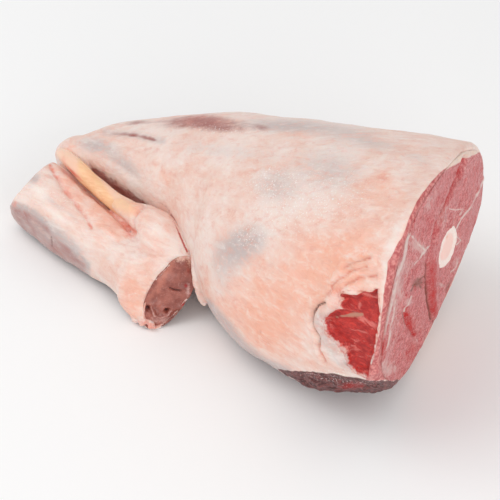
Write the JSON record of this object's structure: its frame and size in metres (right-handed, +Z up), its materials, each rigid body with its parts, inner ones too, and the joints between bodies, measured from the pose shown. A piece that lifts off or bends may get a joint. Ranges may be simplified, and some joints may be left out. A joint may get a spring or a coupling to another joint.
{
  "type": "leg of mutton",
  "caption": "Raw leg of mutton under pale fat, thick at the sawn end with the bone showing, the shank folded back beside it with its tendon and open hock joint.",
  "frame": {"origin": "centre of the box around the whole leg, at table height", "axes": "+X from the knee tip towards the sawn end, -Y the side of the folded shank, +Z up"},
  "size_m": [0.3056, 0.1836, 0.1633],
  "materials": {
    "flesh": "moist raw fat over red meat",
    "bone": "sawn bone",
    "cartilage": "wet joint end",
    "sinew": "smooth moist tendon"
  },
  "bodies": {
    "root": {"leg_flesh": "flesh", "thigh_bone": "bone", "shank_bone": "cartilage", "tendon": "sinew"}
  },
  "joints": []
}
